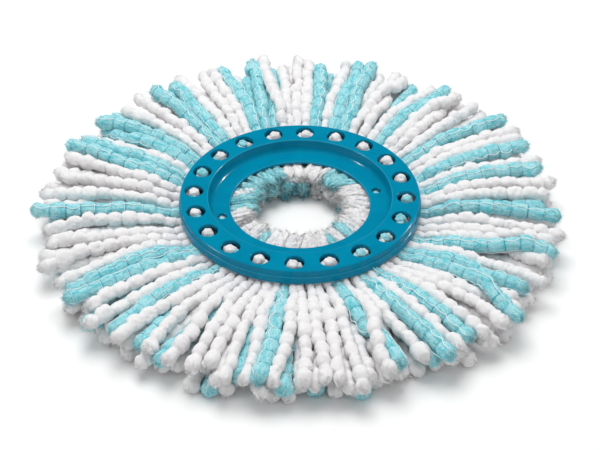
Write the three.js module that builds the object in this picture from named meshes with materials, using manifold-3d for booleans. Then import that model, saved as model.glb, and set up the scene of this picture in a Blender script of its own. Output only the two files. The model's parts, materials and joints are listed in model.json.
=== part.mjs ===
// Replacement head of a spin mop: a moulded ring that snaps onto the mop's round drive plate, with twenty
// bundles of microfibre yarn clamped under its rim. Lengths are in millimetres and +Z is up. The head lies
// on the floor with its yarn spread out; the origin is on the floor under the ring's centre, and +X runs
// through one of the two small locating holes.
import * as THREE from 'three';
import { mergeVertices } from 'three/addons/utils/BufferGeometryUtils.js';
import Module from 'manifold-3d';

const wasm = await Module();
wasm.setup();

// ---- driving dimensions ----------------------------------------------------------------------------
const GAP = 0.3; // clearance between neighbouring pieces
const BUNDLES = 20;
const PITCH = (2 * Math.PI) / BUNDLES;
const RING_STEPS = 60; // flats round each moulded ring

// carrier ring: a raised rim, hollow below, and a recessed flange inside it for the drive plate
const RIM_TOP = 27;
const RIM_OUTER_R = 75;
const RIM_INNER_R = 57.5;
const RIM_PLATE = 2.8; // thickness of the rim's top
const BAND_R = 75.7; // the lower part of the outer wall stands a little proud
const BAND_TOP = 22.8;
const RIM_BOTTOM = 17.6;
const FLANGE_TOP = 19.5;
const FLANGE_BOTTOM = 17.5;
const FLANGE_OUTER_R = 55.4;
const FLANGE_INNER_R = 43.9;
const RIM_CEILING = RIM_TOP - RIM_PLATE;
const CHANNEL_OUTER_R = 72.7;
const CHANNEL_INNER_R = 60.3;

// openings in the carrier ring
const WINDOW_RING_R = 66.4; // the yarn windows' centres
const WINDOW_R = 5.9;
const LOCATOR_RING_R = 50;
const LOCATOR_R = 2.75;

// clamp ring: pushes each bundle up into its window with a post, and is welded on by its pegs
const CLAMP_OUTER_R = 70.5;
const CLAMP_INNER_R = 54;
const CLAMP_BOTTOM = 5;
const CLAMP_TOP = 7.6;
const POST_R = 2.5;
const POST_TOP = 20.5;
const POST_SIDES = 8;
const PEG_R = 2;
const PEG_SIDES = 6;

// yarn held under the rim and pushed up into its windows
const SQUEEZED_HALF_WIDTH = 7.9; // a bundle between two pegs
const LOOP_HALF_WIDTH = SQUEEZED_HALF_WIDTH - 0.4;
const LOOP_INNER_R = CHANNEL_INNER_R + 0.6;
const LOOP_OUTER_R = CHANNEL_OUTER_R - 0.9;
const LOOP_FOOT = RIM_BOTTOM - 2;
const DOME_R = 5.3;
const DOME_SIDES = 10;
// side view of a dome, from its shoulder up to its crown: [radius, z]
const DOME_PROFILE = [
  [DOME_R, RIM_TOP - 4.6],
  [DOME_R - 1.8, RIM_TOP - 3.4],
  [0, RIM_TOP - 2.4],
];

// the short frayed ends inside the ring
const TAIL_INNER_R = 31;
const TAIL_OUTER_R = 52.6;
// their side view, from the flange down to the floor: [radius, z]
const TAIL_PROFILE = [
  [FLANGE_INNER_R - 1.5, FLANGE_BOTTOM - GAP],
  [TAIL_INNER_R + 5, FLANGE_BOTTOM - 3],
  [TAIL_INNER_R + 1, FLANGE_BOTTOM / 2 + 1],
  [TAIL_INNER_R, FLANGE_BOTTOM / 4],
  [TAIL_INNER_R + 1.5, 0],
];

// the free yarn, which bends where it leaves the ring
const HINGE_R = 76.5;
const HINGE_Z = 11;
const HINGE_HALF_HEIGHT = 5.8;
const DROOP = THREE.MathUtils.degToRad(60);
const LIFT = THREE.MathUtils.degToRad(30);
const SEAT_MARGIN = 0.1; // radians of the yarn's round seat beyond its lift
const TIP_R = 165;
const STRAND_ROWS = 4;
// its side view, from the bend out: [radius, low z, high z, depth of the valleys between the strands]
const FREE_PROFILE = [
  [HINGE_R, HINGE_Z - HINGE_HALF_HEIGHT, HINGE_Z + HINGE_HALF_HEIGHT, 0],
  [HINGE_R + 18, 0, 18.4, 2.2],
  [HINGE_R + 40, 0, 18.8, 2.6],
  [HINGE_R + 60, 0, 18, 2.6],
  [TIP_R - 10, 0, 16.6, 2.6],
  [TIP_R - 3, 0, 14.5, 2.6],
  [TIP_R, 2.5, 9.5, 1.4],
];
// bundles with at least as much turquoise as white
const MOSTLY_TURQUOISE = new Set([1, 4, 6, 7, 8, 9, 12, 18]);

// ---- materials -------------------------------------------------------------------------------------
const material = (color, roughness) => new THREE.MeshStandardMaterial({ color, roughness, metalness: 0 });
const tealPlastic = material(0x0b93b5, 0.35);
const whiteYarn = material(0xf1eef0, 0.95);
const turquoiseYarn = material(0x8fdbe4, 0.95);

// ---- helpers ---------------------------------------------------------------------------------------
/** A closed solid for cutting and joining, from any closed geometry. */
function solidOf(geometry) {
  const bare = geometry.clone();
  bare.deleteAttribute('normal');
  bare.deleteAttribute('uv');
  const merged = mergeVertices(bare, 1e-4);
  return new wasm.Manifold(new wasm.Mesh({
    numProp: 3,
    vertProperties: new Float32Array(merged.attributes.position.array),
    triVerts: new Uint32Array(merged.index.array),
  }));
}

/** The geometry of a solid that was cut or joined. */
function geometryOf(solid) {
  const { vertProperties, triVerts } = solid.getMesh();
  const geometry = new THREE.BufferGeometry();
  geometry.setAttribute('position', new THREE.BufferAttribute(vertProperties, 3));
  geometry.setIndex(new THREE.BufferAttribute(triVerts, 1));
  return geometry;
}

/** A ring turned about Z from a closed outline of [radius, z], listed with its outer side going up. */
function turned(outline, steps) {
  const points = [...outline, outline[0]].map(([r, z]) => new THREE.Vector2(r, z));
  return new THREE.LatheGeometry(points, steps).rotateX(Math.PI / 2);
}

/** An upright round bar standing at a radius and an angle, from z = low to z = high. */
function bar(radius, low, high, atR, angle, sides) {
  const geometry = new THREE.CylinderGeometry(radius, radius, high - low, sides);
  geometry.rotateX(Math.PI / 2);
  geometry.translate(atR, 0, (low + high) / 2);
  return geometry.rotateZ(angle);
}

/** An outline in the radial plane (x outwards, z up), made `width` wide across it. */
function slab(outline, width) {
  const geometry = new THREE.ExtrudeGeometry(outline, {
    depth: width,
    bevelEnabled: false,
    curveSegments: 6,
  });
  // the outline's own axes are x and z, and its thickness runs along y
  geometry.rotateX(Math.PI / 2);
  return geometry.translate(0, width / 2, 0);
}

/** An outline seen from above, made into a block from z = 0 to z = height. */
function block(corners, height) {
  const outline = new THREE.Shape(corners.map(([x, y]) => new THREE.Vector2(x, y)));
  return new THREE.ExtrudeGeometry(outline, { depth: height, bevelEnabled: false });
}

/** Half the width, at distance x, that keeps a bundle inside its own sector of the ring. */
function sectorHalfWidth(x) {
  return x * Math.tan(PITCH / 2) - GAP * 0.65;
}

// ---- moulded rings ---------------------------------------------------------------------------------
function makeCarrierRing() {
  const outline = [
    [CHANNEL_OUTER_R + 0.5, RIM_BOTTOM],
    [BAND_R - 0.6, RIM_BOTTOM],
    [BAND_R, RIM_BOTTOM + 0.7],
    [BAND_R, BAND_TOP - 0.6],
    [RIM_OUTER_R, BAND_TOP],
    [RIM_OUTER_R, RIM_TOP - 1.2],
    [RIM_OUTER_R - 0.35, RIM_TOP - 0.35],
    [RIM_OUTER_R - 1.2, RIM_TOP],
    [RIM_INNER_R + 0.7, RIM_TOP],
    [RIM_INNER_R, RIM_TOP - 0.7],
    [FLANGE_OUTER_R + 0.6, FLANGE_TOP + 0.8],
    [FLANGE_OUTER_R - 0.3, FLANGE_TOP],
    [FLANGE_INNER_R + 0.4, FLANGE_TOP],
    [FLANGE_INNER_R, FLANGE_TOP - 0.4],
    [FLANGE_INNER_R, FLANGE_BOTTOM],
    [CHANNEL_INNER_R - 2.1, FLANGE_BOTTOM],
    [CHANNEL_INNER_R, RIM_CEILING],
    [CHANNEL_OUTER_R, RIM_CEILING],
  ];
  let ring = solidOf(turned(outline, RING_STEPS));
  for (let n = 0; n < BUNDLES; n += 1) {
    const window = bar(WINDOW_R, RIM_CEILING - 1, RIM_TOP + 1, WINDOW_RING_R, n * PITCH, 16);
    ring = ring.subtract(solidOf(window));
  }
  for (const angle of [0, Math.PI]) {
    const hole = bar(LOCATOR_R, FLANGE_BOTTOM - 1, FLANGE_TOP + 1, LOCATOR_RING_R, angle, 12);
    ring = ring.subtract(solidOf(hole));
  }
  return geometryOf(ring);
}

function makeClampRing() {
  const outline = [
    [CLAMP_INNER_R, CLAMP_BOTTOM],
    [CLAMP_OUTER_R, CLAMP_BOTTOM],
    [CLAMP_OUTER_R, CLAMP_TOP],
    [CLAMP_INNER_R, CLAMP_TOP],
  ];
  const sunk = (CLAMP_TOP + CLAMP_BOTTOM) / 2;
  let ring = solidOf(turned(outline, RING_STEPS));
  for (let n = 0; n < BUNDLES; n += 1) {
    const post = bar(POST_R, sunk, POST_TOP, WINDOW_RING_R, n * PITCH, POST_SIDES);
    const peg = bar(PEG_R, sunk, RIM_CEILING - GAP, WINDOW_RING_R, (n + 0.5) * PITCH, PEG_SIDES);
    ring = ring.add(solidOf(post)).add(solidOf(peg));
  }
  return geometryOf(ring);
}

// ---- yarn bundles, each made along +X and then turned into place --------------------------------------
/** The side view of a clamped root: the frayed tail inside the ring, the squeezed part, and the seat for the
 *  free yarn, hollowed round the line that the yarn bends about. */
function rootOutline() {
  const seatR = HINGE_HALF_HEIGHT + GAP;
  const upper = Math.PI / 2 + LIFT + SEAT_MARGIN;
  const lower = Math.PI + Math.PI / 2 - DROOP;
  const outline = new THREE.Shape();
  outline.moveTo(TAIL_OUTER_R, 0);
  outline.lineTo(TAIL_OUTER_R, CLAMP_TOP + GAP);
  outline.lineTo(HINGE_R + seatR * Math.cos(lower), CLAMP_TOP + GAP);
  outline.absarc(HINGE_R, HINGE_Z, seatR, lower, upper, true);
  outline.lineTo(HINGE_R + seatR * Math.cos(upper), FLANGE_BOTTOM - GAP);
  for (const [r, z] of TAIL_PROFILE) {
    outline.lineTo(r, z);
  }
  outline.closePath();
  return outline;
}

/** The yarn that a post pushes up into the rim, and its dome in the window. */
function windowYarn() {
  const loop = block([
    [LOOP_INNER_R, -LOOP_HALF_WIDTH],
    [LOOP_OUTER_R, -LOOP_HALF_WIDTH],
    [LOOP_OUTER_R, LOOP_HALF_WIDTH],
    [LOOP_INNER_R, LOOP_HALF_WIDTH],
  ], RIM_CEILING - GAP - LOOP_FOOT).translate(0, 0, LOOP_FOOT);
  const profile = [[0, LOOP_FOOT], [DOME_R, LOOP_FOOT], ...DOME_PROFILE];
  const dome = new THREE.LatheGeometry(profile.map(([r, z]) => new THREE.Vector2(r, z)), DOME_SIDES);
  dome.rotateX(Math.PI / 2).translate(WINDOW_RING_R, 0, 0);
  return solidOf(loop).add(solidOf(dome));
}

function makeRoot() {
  const inner = TAIL_INNER_R - 2;
  const outer = HINGE_R;
  const sector = block([
    [inner, -sectorHalfWidth(inner)],
    [outer, -sectorHalfWidth(outer)],
    [outer, sectorHalfWidth(outer)],
    [inner, sectorHalfWidth(inner)],
  ], RIM_TOP);
  let root = solidOf(slab(rootOutline(), 4 * SQUEEZED_HALF_WIDTH)).intersect(solidOf(sector));
  root = root.add(windowYarn());
  for (const side of [-0.5, 0.5]) {
    const room = bar(PEG_R + GAP, CLAMP_BOTTOM, RIM_TOP, WINDOW_RING_R, side * PITCH, PEG_SIDES);
    root = root.subtract(solidOf(room));
  }
  const room = bar(POST_R + GAP, CLAMP_BOTTOM, POST_TOP + GAP, WINDOW_RING_R, 0, POST_SIDES);
  return geometryOf(root.subtract(solidOf(room)));
}

/** Half the width of the free yarn at distance x, where its underside is at z = low: narrow enough to stay in
 *  its sector when it droops, as the yarn then gathers closer to the head's axis. */
function freeHalfWidth(x, low) {
  const drooped = HINGE_R + (x - HINGE_R) * Math.cos(DROOP) - (HINGE_Z - low) * Math.sin(DROOP);
  return sectorHalfWidth(x < HINGE_R ? HINGE_R - HINGE_HALF_HEIGHT : drooped);
}

/** The free yarn of one bundle: rows of strands side by side, with a round inner end about the line that it
 *  bends about. */
function makeFreeYarn() {
  const rounded = [25, 55].map((degrees) => {
    const turn = THREE.MathUtils.degToRad(degrees);
    const half = HINGE_HALF_HEIGHT * Math.sin(turn);
    return [HINGE_R - HINGE_HALF_HEIGHT * Math.cos(turn), HINGE_Z - half, HINGE_Z + half, 0];
  });
  const stations = [...rounded, ...FREE_PROFILE];
  const across = 2 * STRAND_ROWS + 1; // a valley on each side of every row's crest
  const loop = across + 2;
  const positions = [];
  for (const [x, low, high, ripple] of stations) {
    const half = freeHalfWidth(x, low);
    for (let n = 0; n < across; n += 1) {
      const isValley = n % 2 === 0;
      positions.push(x, half * (1 - (2 * n) / (across - 1)), high - (isValley ? ripple : 0));
    }
    positions.push(x, -half, low, x, half, low);
  }
  const faces = [];
  for (let s = 0; s + 1 < stations.length; s += 1) {
    for (let n = 0; n < loop; n += 1) {
      const a = s * loop + n;
      const b = s * loop + ((n + 1) % loop);
      faces.push(a, b, b + loop, a, b + loop, a + loop);
    }
  }
  const last = (stations.length - 1) * loop;
  for (const [start, isInner] of [[0, true], [last, false]]) {
    const left = start + loop - 1;
    const right = start + loop - 2;
    for (let n = 0; n < STRAND_ROWS; n += 1) {
      addFace(faces, left, start + n, start + n + 1, isInner);
      addFace(faces, right, start + across - 2 - n, start + across - 1 - n, isInner);
    }
    addFace(faces, left, start + STRAND_ROWS, right, isInner);
  }
  const geometry = new THREE.BufferGeometry();
  geometry.setAttribute('position', new THREE.Float32BufferAttribute(positions, 3));
  geometry.setIndex(faces);
  return geometry;
}

function addFace(faces, a, b, c, isReversed) {
  faces.push(a, isReversed ? c : b, isReversed ? b : c);
}

// ---- the head --------------------------------------------------------------------------------------
const head = new THREE.Group();

function addPiece(name, geometry, finish, angle = 0) {
  const mesh = new THREE.Mesh(geometry, finish);
  mesh.name = name;
  mesh.rotation.z = angle;
  head.add(mesh);
}

addPiece('carrier_ring', makeCarrierRing(), tealPlastic);
addPiece('clamp_ring', makeClampRing(), tealPlastic);

const root = makeRoot();
const freeYarn = makeFreeYarn();
for (let n = 0; n < BUNDLES; n += 1) {
  const number = String(n + 1).padStart(2, '0');
  const freeFinish = MOSTLY_TURQUOISE.has(n + 1) ? turquoiseYarn : whiteYarn;
  addPiece(`yarn_root_${number}`, root, whiteYarn, n * PITCH);
  addPiece(`yarn_strands_${number}`, freeYarn, freeFinish, n * PITCH);
}

export default head;
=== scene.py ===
"""The looks of a spin mop's replacement head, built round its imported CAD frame.

The head lies on the floor with its yarn spread out: a moulded teal ring with twenty windows in its rim, and
under each window a bundle of beaded microfibre yarns, white ones and turquoise ones netted with a thin white
thread. Shapes are worked out in millimetres in the frame's own axes and written to the meshes in metres.
"""

import json
import math

import bmesh
import bpy
import numpy as np
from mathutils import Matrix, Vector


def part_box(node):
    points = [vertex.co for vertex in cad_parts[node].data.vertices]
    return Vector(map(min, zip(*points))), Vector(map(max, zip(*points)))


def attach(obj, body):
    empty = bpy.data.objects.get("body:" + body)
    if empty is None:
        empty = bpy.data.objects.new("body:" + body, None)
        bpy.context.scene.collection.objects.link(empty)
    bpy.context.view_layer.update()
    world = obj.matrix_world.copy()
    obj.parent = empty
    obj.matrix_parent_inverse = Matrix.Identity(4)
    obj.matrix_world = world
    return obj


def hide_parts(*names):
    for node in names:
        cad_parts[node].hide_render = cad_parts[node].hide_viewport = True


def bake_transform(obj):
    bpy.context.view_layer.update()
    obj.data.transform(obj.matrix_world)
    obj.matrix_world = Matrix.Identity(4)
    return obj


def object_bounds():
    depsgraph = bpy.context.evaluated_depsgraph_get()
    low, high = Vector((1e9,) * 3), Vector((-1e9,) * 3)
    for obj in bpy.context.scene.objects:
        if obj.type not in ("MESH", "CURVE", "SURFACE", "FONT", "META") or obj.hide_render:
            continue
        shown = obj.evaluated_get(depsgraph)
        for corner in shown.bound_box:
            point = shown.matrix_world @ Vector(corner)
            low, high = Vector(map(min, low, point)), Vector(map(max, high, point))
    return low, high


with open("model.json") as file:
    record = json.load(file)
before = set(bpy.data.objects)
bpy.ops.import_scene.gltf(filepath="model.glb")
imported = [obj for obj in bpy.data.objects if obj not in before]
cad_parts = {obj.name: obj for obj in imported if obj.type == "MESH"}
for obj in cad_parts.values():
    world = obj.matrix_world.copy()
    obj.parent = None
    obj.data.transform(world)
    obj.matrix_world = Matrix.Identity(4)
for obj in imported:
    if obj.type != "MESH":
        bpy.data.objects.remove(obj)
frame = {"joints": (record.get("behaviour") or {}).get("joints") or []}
cad_low, cad_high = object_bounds()

MM = 0.001
FULL_TURN = 2 * math.pi
rng = np.random.default_rng(20)

# ---- sizes in mm, from the frame where it holds them ----
ring_low, ring_high = (np.array(corner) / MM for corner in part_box("carrier_ring"))
clamp_low, clamp_high = (np.array(corner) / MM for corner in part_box("clamp_ring"))
first_joint = frame["joints"][0]
HINGE_R = math.hypot(*first_joint["pos_m"][:2]) / MM
BUNDLES = len(frame["joints"])
PITCH = FULL_TURN / BUNDLES
TIP_R = cad_high[0] / MM

# the carrier ring: a raised rim over a channel for the yarn, a recessed flange inside it, and a low band
# that stands out a little round its outer wall
RIM_TOP = ring_high[2]
BAND_R = ring_high[0]
RIM_OUTER_R = BAND_R - 0.7
RIM_INNER_R = 57.5
BAND_TOP = RIM_TOP - 4.2
RIM_BOTTOM = RIM_TOP - 9.4
RIM_CEILING = RIM_TOP - 2.8
FLANGE_TOP = RIM_TOP - 7.5
FLANGE_BOTTOM = ring_low[2]
FLANGE_OUTER_R = 55.2
FLANGE_INNER_R = 43.9
CHANNEL_OUTER_R = 72.7
CHANNEL_INNER_R = 60.3
WINDOW_RING_R = 66.4
WINDOW_R = 5.9
WINDOW_SOFT = 0.55  # rounding of a window's upper edge
LOCATOR_RING_R = 50.0
LOCATOR_R = 2.75
LOCATOR_SOFT = 0.4
LOCATOR_SECTORS = (0, BUNDLES // 2)

# the clamp ring below the yarn, its posts under the windows and its pegs between them
CLAMP_OUTER_R = 70.5
CLAMP_INNER_R = 54.0
CLAMP_BOTTOM = clamp_low[2]
CLAMP_TOP = CLAMP_BOTTOM + 2.6
POST_R = 2.5
POST_TOP = RIM_TOP - 6.5
PEG_R = 2.0
PEG_TOP = clamp_high[2]
POST_SIDES = 28
POST_SOFT = 0.4
POST_SUNK = 0.02  # how deep the posts and pegs stand in the clamp ring

# each bundle's yarns in the order they lie round the ring, w white and t turquoise: those in sight on top,
# then the two layers that they lie on. The first bundle is the one on +X.
TOP_ROWS = (
    "wtwt wwtw wwtw wwtt wtwww wtttw wwtt wwtt wttw wwt "
    "www wttw wtww wwww wtwww wwtw wtwtw wwtt wtww wtw"
).split()
MIDDLE_ROWS = (
    "wwww wwww wwwt wwww twww wtww wwww wtww wwww wwtw "
    "wtww wwwt wwtw twwt wtww wwww twww wwww wwwt wwtw"
).split()
BOTTOM_ROWS = (
    "wtww wwtw wwww twww wwtw wwww wtww wwww wwtw wwww "
    "wwtw twww wwww wwtw wwwt wtww wwww wwtw wwww twww"
).split()
ROWS = (TOP_ROWS, MIDDLE_ROWS, BOTTOM_ROWS)
# for each of those layers: its yarns' middles at the ring and where they have opened out, how much stouter
# they are, how finely they are made, and their loose fibres at the end and all along
HELD_HEIGHTS = (14.3, 9.2, 4.1)
SPREAD_HEIGHTS = (19.8, 14.2, 5.4)
LAYER_EXTRA = (0.0, 0.4, 0.7)
SIDES = (24, 16, 12)
STEPS = (0.65, 0.85, 1.15)
END_FIBRES = (210, 130, 60)
NAP_FIBRES = (700, 300, 60)

# a yarn's radius in its necks and at its beads, and how blunt the beads are
WHITE_NECK_R = 2.55
WHITE_BEAD_R = 4.15
WHITE_BLUNTNESS = 0.54
TURQUOISE_NECK_R = 3.85
TURQUOISE_BEAD_R = 4.6
TURQUOISE_BLUNTNESS = 0.55
BEAD_PITCH = 9.4
SQUEEZED = 0.7  # a yarn's width at the ring, as a share of its full width
FULL_R = 108  # where the yarns reach their full width
FRAY = 8.0  # length of a yarn's frayed end
TIP_LENGTH = 6.0  # and of its rounding
LOWEST = 0.05  # height of yarn that rests on the floor

# the dome in each window: the lumps of yarn to its two sides, and the one on top
DOME_ROWS = (
    "tww www www www www www wwt wtw twt wtw "
    "wtw wtw wtw www www www wwt wwt twt twt"
).split()
LUMP_ACROSS = (-2.0, 2.0, 0.0)
LUMP_HEIGHTS = (22.4, 22.6, 24.2)
LUMP_SIZES = (3.2, 3.2, 3.6)
LUMP_FIBRES = 150
# a little fluff below each locating hole
FLUFF_SIZES = (2.4, 2.4, 2.2)
FLUFF_DROP = 1.6

# the frayed ends inside the ring, two in each of three layers from the top down
TAIL_ROWS = (
    "wwwtww wtwwtw ttwwww wwwtww wwtttt wtttwt tttwwt ttwtww twttww ttwwtw "
    "wwwwtw wwwtww wtwwww wwwwtw wwwwww wwwtww twtwww twwwwt wwwwtw wwwtww"
).split()
# for each of those layers: height at the clamp, height at the end and radius of the end, and how pale it is;
# the lower layers get deeper painted shade
TAIL_PLACES = ((14.6, 16.2, 29.5), (10.4, 9.8, 29.0), (5.0, 4.2, 30.0))
TAIL_SHADES = (1.0, 0.55, 0.3)
TAIL_START_R = 56
TAIL_BEND_R = 47  # where a tail starts to rise or sink
TAIL_FIBRES = 320

# ---- colours, as sRGB from 0 to 255 ----
TEAL = ((0, 134, 168), (0, 127, 161))  # plastic, and its darker flow patches
HIDDEN_TEAL = ((0, 128, 164), (0, 120, 156))
# a lighter teal, painted on the rounded edges as a highlight
EDGE_HIGHLIGHT_TEAL = (70, 178, 208)
# the middle colour of each is painted shade, for the necks, the hollows between tufts and the parts in
# shadow
WHITE_PILE = ((244, 242, 242), (236, 236, 239), (241, 240, 241))  # on a crest, deep down, in streaks
TURQUOISE_PILE = ((182, 234, 239), (4, 154, 176), (110, 207, 217))
THREAD = ((232, 246, 248), (252, 253, 253))
WHITE_SHEEN = (1, 1, 1, 1)
TURQUOISE_SHEEN = (0.6, 0.95, 1, 1)
FLOOR_GREY = (0.98, 0.98, 0.98, 1)

# ---- camera and studio ----
LENS = 92.5
SENSOR = 36
CAMERA_TURN = math.radians(-15.2)
CAMERA_DOWN = 38.74  # degrees below level
CAMERA_AWAY = 763 * MM
CAMERA_ABOVE_RIM = 587 * MM
CLIP_START = 0.01
WORLD_STRENGTH = 0.52
KEY_PLACE, KEY_SIZE, KEY_POWER = (-0.05, 0.3, 1.35), 1.1, 13.6
GLINT_PLACES = {"left_glint": (-0.87, 0.18, 0.7), "right_glint": (0.83, 0.3, 0.7)}
GLINT_SIZE, GLINT_POWER = 0.13, 9
FLOOR_REACH = 6


def make_camera():
    """A long lens, a little under 40 degrees above the floor."""
    data = bpy.data.cameras.new("Camera")
    data.lens = LENS
    data.sensor_width = SENSOR
    data.clip_start = CLIP_START
    camera = bpy.data.objects.new("Camera", data)
    sideways, back = CAMERA_AWAY * math.sin(CAMERA_TURN), -CAMERA_AWAY * math.cos(CAMERA_TURN)
    camera.location = (sideways, back, RIM_TOP * MM + CAMERA_ABOVE_RIM)
    camera.rotation_mode = "XYZ"
    camera.rotation_euler = (math.radians(90 - CAMERA_DOWN), 0, CAMERA_TURN)
    bpy.context.scene.collection.objects.link(camera)
    bpy.context.scene.camera = camera


def make_area_light(name, place, size, power):
    """A round light, aimed at the head."""
    data = bpy.data.lights.new(name, "AREA")
    data.shape = "DISK"
    data.size = size
    data.energy = power
    light = bpy.data.objects.new(name, data)
    light.location = place
    aim = -np.array(place, float)
    flat = math.hypot(aim[0], aim[1])
    light.rotation_euler = (math.atan2(flat, -aim[2]), 0, math.atan2(-aim[0], aim[1]))
    bpy.context.scene.collection.objects.link(light)
    return light


def make_studio():
    """One broad soft light overhead, and two small ones that only put glints on the plastic's edges."""
    world = bpy.data.worlds.new("Studio")
    world.use_nodes = True
    background = world.node_tree.nodes["Background"]
    background.inputs["Color"].default_value = (1, 1, 1, 1)
    background.inputs["Strength"].default_value = WORLD_STRENGTH
    bpy.context.scene.world = world
    world.cycles_visibility.glossy = False
    bpy.context.scene.view_settings.view_transform = "Standard"
    key = make_area_light("key", KEY_PLACE, KEY_SIZE, KEY_POWER)
    key.visible_glossy = False
    for name, place in GLINT_PLACES.items():
        glint = make_area_light(name, place, GLINT_SIZE, GLINT_POWER)
        glint.visible_diffuse = False


def make_floor():
    mesh = bpy.data.meshes.new("floor")
    corners = [(x * FLOOR_REACH, y * FLOOR_REACH, 0) for x, y in ((-1, -1), (1, -1), (1, 1), (-1, 1))]
    mesh.from_pydata(corners, [], [(0, 1, 2, 3)])
    floor = bpy.data.objects.new("floor", mesh)
    bpy.context.scene.collection.objects.link(floor)
    material, _, principled = new_material("studio_floor")
    set_inputs(principled, {"Base Color": FLOOR_GREY, "Roughness": 0.9})
    mesh.materials.append(material)


# ---- materials ----
def new_material(name):
    """A new material, its node tree and its Principled node."""
    material = bpy.data.materials.new(name)
    material.use_nodes = True
    return material, material.node_tree, material.node_tree.nodes["Principled BSDF"]


def linear(colour):
    """An sRGB colour, 0 to 255, as linear red, green, blue and alpha."""
    levels = [c / 255 for c in colour]
    return tuple(c / 12.92 if c <= 0.04045 else ((c + 0.055) / 1.055) ** 2.4 for c in levels) + (1.0,)


def set_inputs(node, values):
    """Sets a node's sockets, by name."""
    for name, value in values.items():
        node.inputs[name].default_value = value


def add_node(tree, kind, **settings):
    """A node, with its own settings and, by input name, its sockets' values."""
    node = tree.nodes.new(kind)
    for key, value in settings.items():
        if hasattr(node, key):
            setattr(node, key, value)
        else:
            node.inputs[key].default_value = value
    return node


def reading(tree, kind, vector, **settings):
    """A node as add_node makes it, that reads this vector."""
    node = add_node(tree, kind, **settings)
    tree.links.new(vector, node.inputs["Vector"])
    return node


def noise(tree, vector, scale, detail=3.0, roughness=0.6):
    settings = {"Scale": scale, "Detail": detail, "Roughness": roughness}
    return reading(tree, "ShaderNodeTexNoise", vector, **settings).outputs["Fac"]


def mixed(tree, factor, first, second):
    """A colour mix; first and second are colours or sockets."""
    node = add_node(tree, "ShaderNodeMix", data_type="RGBA", blend_type="MIX")
    for socket, value in ((node.inputs[0], factor), (node.inputs[6], first), (node.inputs[7], second)):
        if isinstance(value, bpy.types.NodeSocket):
            tree.links.new(value, socket)
        else:
            socket.default_value = value
    return node.outputs[2]


def spread(tree, value, low, high, to_low=0.0, to_high=1.0):
    """value from the range low to high, on to the range to_low to to_high."""
    node = add_node(tree, "ShaderNodeMapRange", interpolation_type="SMOOTHSTEP")
    tree.links.new(value, node.inputs["Value"])
    set_inputs(node, {"From Min": low, "From Max": high, "To Min": to_low, "To Max": to_high})
    return node.outputs["Result"]


def add_bump(tree, principled, height, strength, distance, under=None):
    """Adds a bump to a Principled node, over the one under it if there is one."""
    node = add_node(tree, "ShaderNodeBump", Strength=strength, Distance=distance)
    tree.links.new(height, node.inputs["Height"])
    if under is not None:
        tree.links.new(under, node.inputs["Normal"])
    tree.links.new(node.outputs["Normal"], principled.inputs["Normal"])
    return node.outputs["Normal"]


def attribute(tree, name, output):
    return add_node(tree, "ShaderNodeAttribute", attribute_name=name).outputs[output]


def pile_pattern(tree, along):
    """How far each place is from a small soft tuft's middle, and the fibres combed along the yarn."""
    warp = reading(tree, "ShaderNodeTexNoise", along, Scale=0.8)
    bent = add_node(tree, "ShaderNodeVectorMath", operation="ADD")
    tree.links.new(along, bent.inputs[0])
    tree.links.new(warp.outputs["Color"], bent.inputs[1])
    bent = bent.outputs["Vector"]
    tufts = reading(tree, "ShaderNodeTexVoronoi", bent, feature="SMOOTH_F1", Scale=1.5, Smoothness=1.0)
    combed = reading(tree, "ShaderNodeMapping", bent, Scale=(0.45, 1.6, 1.6))
    return tufts.outputs["Distance"], noise(tree, combed.outputs["Vector"], 2.4, 3.0, 0.65)


def pile_colour(tree, along, tufts, fibres, depth, colours):
    """Paler on a bead's crest, with shade painted between tufts, in the fibres' grooves and in the necks,
    and with streaks along the yarn.
    """
    crest, deep, streak = (linear(colour) for colour in colours)
    long_way = reading(tree, "ShaderNodeMapping", along, Scale=(0.3, 1, 1))
    streaks = spread(tree, noise(tree, long_way.outputs["Vector"], 0.6, 2.0), 0.4, 0.65)
    patches = spread(tree, noise(tree, along, 0.08, 2.0), 0.35, 0.7, 0.0, 0.6)
    toned = mixed(tree, patches, mixed(tree, streaks, crest, streak), crest)
    # painted shade: the colour goes deep between tufts, in the necks and in the grooves between fibres
    tufted = mixed(tree, spread(tree, tufts, 0.3, 0.85, 0.0, 0.4), toned, deep)
    beaded = mixed(tree, spread(tree, depth, 0.0, 0.6), deep, tufted)
    return mixed(tree, spread(tree, fibres, 0.3, 0.7, 0.12, 0.0), beaded, deep)


def make_yarn_material(name, colours, sheen):
    """Microfibre pile with a velvety nap, from its colours on a crest, in painted shade and in streaks."""
    material, tree, principled = new_material(name)
    along = attribute(tree, "yarn_coord", "Vector")
    depth = attribute(tree, "bead", "Fac")
    tufts, fibres = pile_pattern(tree, along)
    tree.links.new(pile_colour(tree, along, tufts, fibres, depth, colours), principled.inputs["Base Color"])
    set_inputs(principled, {
        "Roughness": 0.95,
        "Specular IOR Level": 0.12,
        "Sheen Weight": 0.2,
        "Sheen Roughness": 0.4,
        "Sheen Tint": sheen,
        "Subsurface Weight": 0.25,
        "Subsurface Radius": (2, 2, 2),
        "Subsurface Scale": MM,
    })
    hollows = add_node(tree, "ShaderNodeMath", operation="MULTIPLY")
    hollows.inputs[1].default_value = -1
    tree.links.new(tufts, hollows.inputs[0])
    puffs = add_bump(tree, principled, hollows.outputs["Value"], 0.6, 0.5 * MM)
    add_bump(tree, principled, fibres, 0.5, 0.3 * MM, puffs)
    return material


def make_thread_material():
    """Crochet thread with a fine twist."""
    material, tree, principled = new_material("crochet_thread")
    place = add_node(tree, "ShaderNodeTexCoord").outputs["Object"]
    grain = noise(tree, place, 1500, 2.0)
    shaded, pale = (linear(colour) for colour in THREAD)
    tree.links.new(mixed(tree, grain, shaded, pale), principled.inputs["Base Color"])
    set_inputs(principled, {"Roughness": 0.7, "Sheen Weight": 0.2})
    add_bump(tree, principled, grain, 0.5, 0.1 * MM)
    return material


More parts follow.
